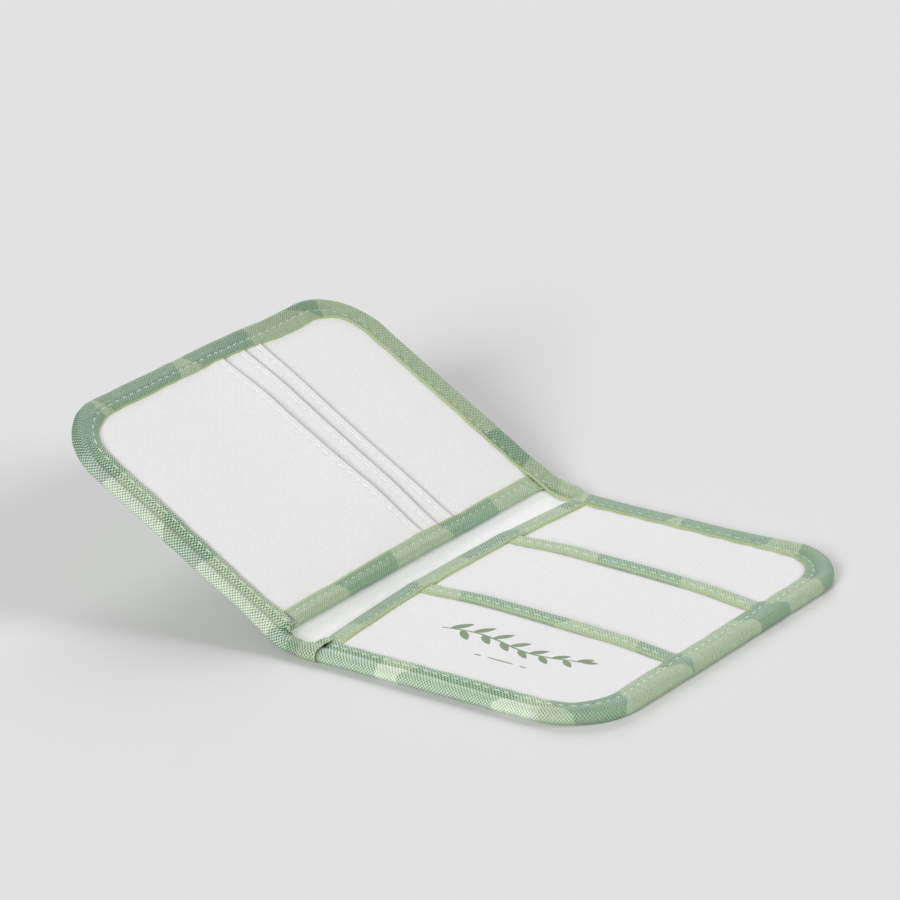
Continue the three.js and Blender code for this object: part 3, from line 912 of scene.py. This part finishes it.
# Corners of the tapes' folded lips, across the tape and up, from the lip's place on top or underneath.
EDGE_LIP = [(-2.0, -0.56), (-0.7, -0.58), (-0.1, -0.48), (0.12, -0.26), (-0.08, -0.05), (-0.5, 0.02)]
EDGE_UNDERSIDE = [(-0.6, -0.02), (-0.1, 0.06), (0.05, 0.16), (-0.3, 0.26)]
PANEL_LIP = [(-1.8, -0.5), (-0.6, -0.52), (-0.1, -0.42), (0.1, -0.22), (-0.1, -0.03), (-0.5, 0.0)]
PANEL_UNDERSIDE = [(-0.6, 0.0), (-0.15, 0.08), (-0.4, 0.22)]
BAND_LIP = [(-1.6, -0.46), (-0.5, -0.48), (-0.05, -0.38), (0.12, -0.2), (-0.08, -0.02), (-0.5, 0.0)]
BAND_UNDERSIDE = [(-1.0, 0.0), (-0.3, 0.06), (-0.5, 0.2)]
BAND_GROOVE = [(0.7, -0.02), (0.0, -0.13), (-0.7, -0.02)]


def edge_outside(flap, crest, width, thin, s, out):
    """Outer face of the edge binding's section: lip, flap, stitched groove, roll, and the same underneath.

    out says how far the roll bulges past the outer edge.
    """
    near = near_share(s)
    low = edge_low(thin)
    middle = (crest + low) * 0.5
    bulge = drift(s, 17, 19.0, 0.1) * (1 - thin) + out
    seam = edge_seam_inset(s, thin)
    return section([
        *beside(width, flap, EDGE_LIP),
        (0.5 * (width + seam) - 0.08, flap + 0.02),
        (seam + 0.35, flap - 0.08),
        (seam - 0.1, flap - 0.22),
        (seam - 0.6, flap - 0.08 - 0.4 * near),
        (seam - 1.3, between(0.7 * flap + 0.3 * crest, flap - 0.85, near)),
        (2.9, between(0.3 * flap + 0.7 * crest, crest - 0.42, near)),
        (1.6 - 0.5 * bulge - 0.35 * near, crest),
        (0.5 - bulge, crest - 0.3 * (crest - middle)),
        (0.0 - bulge, middle + 0.1),
        (0.15 - bulge, middle - 0.45 * (middle - low)),
        (1.0 - 0.8 * bulge, low + 0.12),
        (2.6, low - 0.02),
        (3.9, low + 0.06),
        (seam, low + 0.14),
        (seam + 0.9, low + 0.02),
        *beside(width, low, EDGE_UNDERSIDE),
    ])


def bulge_of(half, s):
    """How far the roll bulges: most at the bulky ends of the spine, least at the outer corners."""
    from_near = np.maximum(s, 0.0)
    from_far = np.maximum(edge_length(half) - s, 0.0)
    ends = 1.5 * np.exp(-((from_near / 9.0) ** 2)) + 0.3 * np.exp(-((from_far / 9.0) ** 2))
    if half == "left":
        outer_side = np.exp(-(((s - edge_length(half) / 2) / 62.0) ** 4))
        near_side = 0.45 * smooth((s - 12.0) / 20.0) * near_share(s)
        return ends + near_side - 0.45 * outer_side - 0.9 * np.exp(-(((s - 197.0) / 17.0) ** 2))
    near_side = np.exp(-((from_near / 66.0) ** 2)) - np.exp(-((from_near / 9.0) ** 2))
    return ends + 1.25 * near_side + 0.6 * smooth((s - 95.0) / 60.0) * smooth(from_far / 60.0)


def faced(half, inward):
    """Inward directions of a half, in flat x and y."""
    return inward * ([1, 1] if half == "right" else [-1, 1])


def edge_binding(half, s, material):
    """A half's edge binding, from s[0] to s[-1] along its edge."""
    u, y, inward, flap, crest, width, thin = edge_form(half, s)
    outside = edge_outside(flap, crest, width, thin, s, bulge_of(half, s))
    path = np.stack([side_x(half, u), y], axis=-1)
    near = near_share(s)
    # Painted shade on the near side, in the hollow beside the seam and on the roll's lower side by the
    # table; on the right a painted shadow beside the closing end's edge. The near side is also painted
    # lighter, as facing the light.
    below = (2.3 if half == "right" else 0.7) * near
    dark = 1.5 * np.exp(-(((s - CLOSING_END) / 0.9) ** 2)) if half == "right" else 0.0
    looks = {"grain": 0.25 + 0.75 * near, "shade": 1.8 * near, "dark": dark, "below": below}
    name = f"edge_tape_{half}_half"
    return tape_piece(name, path, faced(half, inward), outside, s, material, EDGE_SEAM, **looks)


def edge_seam_line(half, s, under=False, further=0.0):
    """The line that the edge seam follows, on the flap or underneath, or a line further in than it."""
    u, y, inward, flap, _, _, thin = edge_form(half, s)
    inset = edge_seam_inset(s, thin) + further
    height = edge_low(thin) - 0.02 if under else flap - 0.08 + 0.06 * near_share(s)
    return np.stack([side_x(half, u + inward[:, 0] * inset), y + inward[:, 1] * inset, height], axis=-1)


# ---- Stitches ------------------------------------------------------------------------------------------

def stitches(name, line, pitch, radius, material, seed, down=False, slant=0.12):
    """A row of single stitches along a line on the cloth, each a rounded thread that dips at its ends."""
    rng = np.random.default_rng(seed)
    lengths = np.concatenate([[0], np.cumsum(np.linalg.norm(np.diff(line, axis=0), axis=1))])
    sides, rings = 7, 7
    angles = np.arange(sides) / sides * 2 * math.pi
    t = np.linspace(0, 1, rings)
    arch = np.sin(math.pi * t)
    rise = radius * (1.25 * arch**0.5 - 0.9) * (-1.0 if down else 1.0)
    thick = radius * (0.45 + 0.55 * arch**0.4)
    points, cloth, faces = [], [], []
    for number in range(int((lengths[-1] - 0.4) / pitch)):
        start = 0.3 + number * pitch + rng.uniform(-0.08, 0.08)
        at = start + t * pitch * (0.76 + rng.uniform(-0.12, 0.1))
        centre = np.stack([np.interp(at, lengths, line[:, k]) for k in range(3)], axis=-1)
        ahead = centre[-1] - centre[0]
        ahead /= np.linalg.norm(ahead)
        side = np.array([-ahead[1], ahead[0], 0.0])
        side /= np.linalg.norm(side)
        centre = centre + side * (slant * (t[:, None] - 0.5) + rng.uniform(-0.04, 0.04))
        centre[:, 2] += rise
        spokes = np.outer(np.cos(angles), side) + np.outer(np.sin(angles), np.cross(ahead, side))
        points.append((centre[:, None, :] + spokes * thick[:, None, None]).reshape(-1, 3))
        place = np.zeros((rings, sides, 3))
        place[..., 0] = at[:, None]
        place[..., 1] = angles
        cloth.append(place.reshape(-1, 3))
        base = number * rings * sides
        faces += [tuple(base + k for k in face) for face in loft_faces(rings, sides)]
    return new_piece(name, lay(np.concatenate(points)), faces, np.concatenate(cloth), material)


# ---- Edge bindings and their seams ---------------------------------------------------------------------

def span(low, high, step=1.1):
    """Even places from low to high, about a step apart."""
    return np.linspace(low, high, max(int((high - low) / step), 2) + 1)


# Where the print changes along each tape, in mm, and how far that edge slants per mm across the tape.
RIGHT_EDGE_BLOCKS = [
    (26, 0.1), (35.5, -0.3), (70, -1.0), (84, 1.2), (109.5, -0.8), (134, 0.8), (142, -0.6), (173, 0.3),
    (188.5, 0.4), (210, -0.2), (238, 0.4), (250, -0.3), (279.5, 0.2), (283, -0.2), (313, 0.3),
]
LEFT_EDGE_BLOCKS = [
    (2, 0.3), (31, 0.25), (50, -1.0), (68, 0.3), (103, 0.5), (106.5, -0.3), (142, 0.6), (149, -0.3),
    (178, 0.3), (204, -2.4), (214, -0.2), (287, 0.3), (302, -0.3),
]
CLOSING_BLOCKS = [(-1.5, 0.3)]
LEFT_PANEL_BLOCKS = [(24.5, 0.2), (50, -0.3), (77, 0.2), (103, -0.5)]
RIGHT_PANEL_BLOCKS = [(9.2, 0.2), (31.5, 0.4), (58, 0.4), (82, -0.3), (116, 0.3)]
MIDDLE_BAND_BLOCKS = [(35.7, -0.5), (65.2, -0.5)]
FRONT_BAND_BLOCKS = [(17.9, -0.5), (55.4, 0.6), (79, -0.5)]

CLOSING_END = 6.6  # where the tape's turned-under closing end stops, out from the right fold line
CLOSING_LAP = 2.4  # how far the right half's tape starts under it
HALF_SPINE = SPINE_WIDTH / 2


def add_edge_bindings():
    """The right half's tape runs on over the spine's far end, and the closing end over its near end."""
    right_tape = tape_material("edge_tape_right", RIGHT_EDGE_BLOCKS)
    # The left and closing tapes are darker copies of the same tape: painted shade.
    left_tape = tape_material("edge_tape_left", LEFT_EDGE_BLOCKS, painted_dimming=0.84)
    closing_tape = tape_material("edge_tape_closing", CLOSING_BLOCKS, painted_dimming=0.86)
    s = span(CLOSING_END - CLOSING_LAP, edge_length("right") + HALF_SPINE)
    right = edge_binding("right", s, right_tape)
    attach(right, "right", "binding_tape", "right_edge_binding", "spine_far_binding", bends=True)
    s = span(-HALF_SPINE, edge_length("left") + HALF_SPINE)
    left = edge_binding("left", s, left_tape)
    attach(left, "left", "binding_tape", "left_edge_binding", bends=True)
    closing = closing_end(closing_tape)
    nodes = ("edge_binding_closing_end", "spine_near_binding")
    attach(closing, "right", "binding_tape", *nodes, bends=True)


def add_edge_seams():
    """The seam through each edge tape, seen from above and below, and a second row along its near lip."""
    for half, low, nodes in (
        ("right", CLOSING_END + 1.0, ("right_edge_stitching", "spine_far_stitching")),
        ("left", -HALF_SPINE, ("left_edge_stitching",)),
    ):
        s = span(low, edge_length(half) + HALF_SPINE)
        name = f"{half}_edge_seam"
        row = stitches(name, edge_seam_line(half, s), STITCH, 0.18, GREEN_THREAD, 7)
        attach(row, half, "green_thread", *nodes, bends=True)
        line = edge_seam_line(half, s, under=True)
        back = stitches(name + "_underside", line, STITCH, 0.14, GREEN_THREAD, 8, down=True)
        attach(back, half, "green_thread", bends=True)
        line = edge_seam_line(half, span(9.5, 78.0), further=1.0)
        second = stitches(f"{half}_lip_seam", line, 1.9, 0.15, GREEN_THREAD, 12, slant=0.25)
        attach(second, half, "green_thread")
    line = edge_seam_line("right", span(-HALF_SPINE, CLOSING_END - 0.8)) + np.array([0, 0, 0.3])
    row = stitches("closing_end_seam", line, STITCH * 0.9, 0.17, GREEN_THREAD, 9)
    attach(row, "right", "green_thread", "spine_near_stitching", bends=True)


def closing_end(material):
    """The tape's end: turned under, and lapped over the start of the right half's tape."""
    folded = CLOSING_END + np.array([-0.45, -0.2, -0.05, 0.0])
    s = np.concatenate([span(-HALF_SPINE, CLOSING_END - 0.7, 0.7), folded])
    u, y, inward, flap, crest, width, thin = edge_form("right", s)
    lap = smooth((s + 1.0) / 4.0)
    turned_under = smooth((s - (CLOSING_END - 0.9)) / 0.9) ** 2
    rise = 0.75 * lap - 0.2 * turned_under
    out = bulge_of("right", s) + rise
    outside = edge_outside(flap + rise, crest + rise, width + 0.3 * lap, thin, s, out)
    path = np.stack([u, y], axis=-1)
    # Painted shade in the hollow beside the seam, and painted light with an open weave.
    looks = {"grain": 0.8, "shade": 0.6, "turned": smooth((s - (CLOSING_END - 0.35)) / 0.2)}
    return tape_piece("edge_tape_closing_end", path, inward, outside, s, material, EDGE_SEAM, **looks)


# ---- Panel bindings ------------------------------------------------------------------------------------

def panel_outside(radius, top, low, width, seam):
    """Outer face of the section of a back panel's binding, with its lip on top and its roll at the fold."""
    middle = (top + low) / 2
    return section([
        *beside(width, top, PANEL_LIP),
        (seam + 0.6, top - 0.03),
        (seam, top - 0.15),
        (seam - 0.6, top - 0.04),
        (seam - 1.5, top + 0.05),
        (1.7 * radius, top + 0.02),
        (0.75 * radius, top - 0.22 * (top - low)),
        (0.12, middle + 0.18 * (top - low)),
        (0.0, middle),
        (0.15, middle - 0.25 * (top - low)),
        (0.9 * radius, low + 0.1),
        (2.0 * radius, low),
        (seam, low + 0.05),
        *beside(width, low, PANEL_UNDERSIDE),
    ])


def add_panel_binding(half, width, seam, radius, grain, material):
    """The tape along a back panel's open edge, with its seam."""
    y = span(1.2 - LAYER_END, LAYER_END - 1.2)
    edge = bound_edge(half, y)
    ends = smooth((np.abs(y) - (HALF_LENGTH - EDGE_WIDTH - 4)) / 5.0)
    raised = (0.55 if half == "left" else 0.12) * (1 - ends)
    top = softened(surface_top(half, edge + width, y), 4) + 0.42 + raised - 0.3 * ends
    low = LINING_TOP + 0.12 + 0.6 * raised
    narrowed = 0.5 * smooth(-y / 50.0) if half == "left" else 0.0
    width_here = width + drift(y, 31, 29.0, 0.12) - narrowed
    inward = np.stack([np.ones_like(y), -np.gradient(edge, y)], axis=-1)
    inward = faced(half, inward / np.linalg.norm(inward, axis=1, keepdims=True))
    path = np.stack([side_x(half, edge), y], axis=-1)
    outside = panel_outside(radius, top, low, width_here, seam)
    along = HALF_LENGTH - 5.5 - y
    name = f"{half}_panel_tape"
    piece = tape_piece(name, path, inward, outside, along, material, seam, 48, grain=grain)
    attach(piece, half, "binding_tape", f"{half}_back_panel_binding")
    line = np.column_stack([path + inward * seam, top - 0.05])[np.abs(y) < HALF_LENGTH - EDGE_WIDTH + 0.4]
    row = stitches(f"{half}_panel_seam", line, STITCH, 0.16, GREEN_THREAD, 51)
    attach(row, half, "green_thread", f"{half}_back_panel_stitching")


# ---- Bands on the right pockets' mouths ----------------------------------------------------------------

def band_outside(top, low):
    """Outer face of the section of a pocket band, measured back from the mouth."""
    return section([
        *beside(BAND_WIDTH, top, BAND_LIP),
        *beside(BAND_SEAM, top, BAND_GROOVE),
        (1.5, top + 0.06),
        (0.55, top - 0.02),
        (0.08, top - 0.28),
        (0.0, (top + low) / 2),
        (0.1, low + 0.22),
        (0.7, low + 0.03),
        (2.4, low),
        *beside(BAND_WIDTH, low, BAND_UNDERSIDE),
    ])


def add_band(name, number, mouth, blocks):
    """The tape over one right pocket's mouth, with its seam."""
    u = span(bound_edge("right", mouth["fold"]) + 1.6, RIGHT_REACH - LAYER_INSET, 0.9)
    y = mouth_at("right", mouth, u)
    tops, _ = layer_tops("right", u, y - 2.5)
    top = tops[number] + 0.4 + drift(u, 61 + number, 33.0, 0.05)
    low = tops[number] - CANVAS - 0.34
    slope = (mouth["outer"] - mouth["fold"]) / (RIGHT_REACH - LAYER_INSET - MOUTH_START)
    inward = np.tile([slope, -1.0], (len(u), 1))
    path = np.stack([u, y], axis=-1)
    material = tape_material(f"{name}_band_tape", blocks, True)
    outside = band_outside(top, low)
    band = f"{name}_pocket_band"
    piece = tape_piece(band, path, inward, outside, u, material, BAND_SEAM, 46, grain=0.6)
    attach(piece, "right", "binding_tape", f"right_{name}_pocket_binding")
    kept = (u > bound_edge("right", y) + 5.9) & (u < RIGHT_REACH - EDGE_WIDTH + 0.3)
    line = np.column_stack([path + inward * BAND_SEAM, top + 0.06])[kept]
    row = stitches(f"{name}_pocket_seam", line, STITCH, 0.17, GREEN_THREAD, 71 + number)
    attach(row, "right", "green_thread", f"right_{name}_pocket_stitching")


def add_hem_seam(name, number, mouth):
    """White stitches along a card pocket's hem."""
    u = span(6.4, LEFT_REACH - EDGE_WIDTH + 0.2, 0.8)
    y = mouth_at("left", mouth, u) - HEM_SEAM
    tops, _ = layer_tops("left", u, y)
    line = np.stack([side_x("left", u), y, tops[number] + 0.02], axis=-1)
    row = stitches(f"{name}_hem_seam", line, HEM_STITCH, 0.17, WHITE_THREAD, 81 + number, slant=0.3)
    attach(row, "left", "white_thread", f"left_{name}_pocket_stitching")


# ---- Printed motif -------------------------------------------------------------------------------------

# The motif on the front pocket, in flat x and y.
STEM_START = 26.0
STEM_LENGTH = 46.0
STEM_Y = -38.0
DASH_Y = -48.4


def leaf(x, y, angle, length, width):
    """Outline of a pointed leaf that grows from a place on the stem."""
    t = np.linspace(0, 1, 9)
    half = width * np.sin(math.pi * t) ** 0.7 * (1 - 0.3 * t)
    outline = np.concatenate([np.stack([t * length, half], 1), np.stack([t * length, -half], 1)[-2:0:-1]])
    c, s = math.cos(angle), math.sin(angle)
    return outline @ np.array([[c, s], [-s, c]]) + [x, y]


def stroke(x, y, width):
    """Outline of a brush stroke along a line, thinner at its ends."""
    points = np.stack([x, y], 1)
    ahead = np.gradient(points, axis=0)
    ahead /= np.linalg.norm(ahead, axis=1, keepdims=True)
    side = np.stack([-ahead[:, 1], ahead[:, 0]], 1)
    taper = width * (0.55 + 0.45 * np.sin(np.linspace(0.1, math.pi - 0.1, len(points))))[:, None]
    return np.concatenate([points + side * taper, (points - side * taper)[::-1]])


def motif_shapes():
    """A sprig of leaves with three short dashes under it."""
    x = np.linspace(STEM_START, STEM_START + STEM_LENGTH, 30)
    y = STEM_Y + 1.8 * np.sin((x - STEM_START) / STEM_LENGTH * 2.2 * math.pi)
    shapes = [stroke(x, y, 0.34)]
    for number, place in enumerate(np.linspace(0.05, 0.97, 13)):
        angle = math.radians(-46 if number % 2 else 52) * (1 - 0.25 * place)
        root = STEM_START + STEM_LENGTH * place
        shapes.append(leaf(root, np.interp(root, x, y), angle, 7.4 - 2.2 * place, 1.5 - 0.35 * place))
    shapes.append(leaf(x[-1], y[-1], math.radians(20), 5.0, 1.0))
    for low, high in ((44.0, 46.2), (48.4, 57.0), (59.2, 61.4)):
        shapes.append(stroke(np.linspace(low, high, 6), np.full(6, DASH_Y), 0.3))
    return shapes


def add_motif():
    """The motif as a thin film of ink on the front pocket."""
    points, faces = [], []
    base = 0
    for outline in motif_shapes():
        tops, _ = layer_tops("right", outline[:, 0], outline[:, 1])
        points += [np.column_stack([outline, tops[2] + lift]) for lift in (0.035, -0.02)]
        n = len(outline)
        faces.append(tuple(base + i for i in range(n)))
        faces.append(tuple(base + n + i for i in reversed(range(n))))
        faces += [(base + i, base + n + i, base + n + (i + 1) % n, base + (i + 1) % n) for i in range(n)]
        base += 2 * n
    flat = np.concatenate(points)
    piece = new_piece("printed_sprig", lay(flat), faces, flat, print_material(), smooth_faces=False)
    attach(piece, "right", "green_thread")


# ---- The whole holder ----------------------------------------------------------------------------------

def add_layers():
    """The cloth, from the cover up to the front pockets, and the hidden interlining's own material."""
    cover = ("cloth_cover", "outer_cover", cover_height, COVER_TOP - COVER_LOW, PRINTED, "printed_canvas")
    lining = ("cloth_lining", "lining", lining_height, CANVAS, LIT_LINING_WHITE, "white_canvas")
    for half in HALVES:
        add_wrap_layer(half, *cover)
        add_wrap_layer(half, *lining)
        add_back_panel(half)
    add_right_pocket("middle", 1, MIDDLE_MOUTH)
    add_right_pocket("front", 2, FRONT_MOUTH)
    add_card_pocket("rear", 1, REAR_CARD, CARD_DEPTH)
    add_card_pocket("middle", 2, MIDDLE_CARD, CARD_DEPTH)
    add_card_pocket("front", 3, FRONT_CARD, None)
    felt = plain_layer_material()
    for half in HALVES:
        node = frame["nodes"][f"{half}_interlining"]
        node.data.materials.clear()
        node.data.materials.append(felt)


def add_trims():
    """The tapes over the cut edges, and every row of stitches."""
    add_edge_bindings()
    add_edge_seams()
    left_tape = tape_material("panel_tape_left", LEFT_PANEL_BLOCKS, True)
    # The right panel's tape is a darker copy of the same tape: painted shade.
    right_tape = tape_material("panel_tape_right", RIGHT_PANEL_BLOCKS, painted_dimming=0.9)
    # The last number of each panel binding is how open its weave looks and how much painted light it gets.
    add_panel_binding("left", 5.9, 3.9, 0.95, 0.35, left_tape)
    add_panel_binding("right", 5.4, 4.0, 0.75, 0.7, right_tape)
    add_band("middle", 1, MIDDLE_MOUTH, MIDDLE_BAND_BLOCKS)
    add_band("front", 2, FRONT_MOUTH, FRONT_BAND_BLOCKS)
    add_hem_seam("rear", 1, REAR_CARD)
    add_hem_seam("middle", 2, MIDDLE_CARD)
    add_hem_seam("front", 3, FRONT_CARD)


# ---- Studio --------------------------------------------------------------------------------------------

def add_camera():
    """A long lens from the near side, to the right of the folds, a little above the holder."""
    azimuth, elevation = math.radians(34.30), math.radians(21.81)
    distance = 1.5986
    off_right, off_up = -0.006366, -0.03238  # how far the aim is from the middle of the picture
    aim = Vector((RIGHT_FOLD[0] - 4.97, 0.0, 3.1)) * MM
    level = Vector((-math.sin(azimuth), math.cos(azimuth), 0.0))
    ahead = level * math.cos(elevation) - Vector((0, 0, 1)) * math.sin(elevation)
    right = Vector((math.cos(azimuth), math.sin(azimuth), 0.0))
    up = right.cross(ahead)
    data = bpy.data.cameras.new("camera")
    data.lens = 220.0
    data.sensor_width = 36.0
    data.dof.use_dof = False
    data.clip_end = 20.0
    camera = bpy.data.objects.new("camera", data)
    camera.location = aim - right * off_right - up * off_up - ahead * distance
    camera.rotation_mode = "QUATERNION"
    camera.rotation_quaternion = ahead.to_track_quat("-Z", "Y")
    bpy.context.scene.collection.objects.link(camera)
    bpy.context.scene.camera = camera


def add_sun(name, towards, energy, softness):
    """Parallel light from a wide soft source; softness is its width in degrees."""
    data = bpy.data.lights.new(name, "SUN")
    data.energy = energy
    data.angle = math.radians(softness)
    light = bpy.data.objects.new(name, data)
    light.rotation_mode = "QUATERNION"
    light.rotation_quaternion = Vector(towards).to_track_quat("Z", "Y")
    bpy.context.scene.collection.objects.link(light)


def add_floor():
    size = 6.0
    corners = [(-size, -size, 0), (size, -size, 0), (size, size, 0), (-size, size, 0)]
    mesh = bpy.data.meshes.new("floor")
    mesh.from_pydata(corners, [], [(0, 1, 2, 3)])
    floor = bpy.data.objects.new("floor", mesh)
    material = bpy.data.materials.new("floor_paper")
    material.use_nodes = True
    surface = material.node_tree.nodes["Principled BSDF"]
    surface.inputs["Base Color"].default_value = rgb(228, 228, 228)
    surface.inputs["Roughness"].default_value = 0.95
    surface.inputs["Specular IOR Level"].default_value = 0.1
    mesh.materials.append(material)
    bpy.context.scene.collection.objects.link(floor)


def add_lights():
    """Soft daylight from the front, the right and behind, in a pale room."""
    scene = bpy.context.scene
    scene.view_settings.view_transform = "Standard"
    scene.world = bpy.data.worlds.new("studio")
    scene.world.use_nodes = True
    background = scene.world.node_tree.nodes["Background"]
    background.inputs["Color"].default_value = (1, 1, 1, 1)
    background.inputs["Strength"].default_value = 0.2
    add_sun("front_light", (0.15, -0.95, 0.42), 2.35, 20)
    add_sun("right_light", (0.75, 0.55, 0.54), 1.26, 24)
    add_sun("back_light", (-0.45, 0.65, 0.5), 1.55, 40)


add_camera()
add_lights()
add_floor()
add_layers()
add_trims()
add_motif()
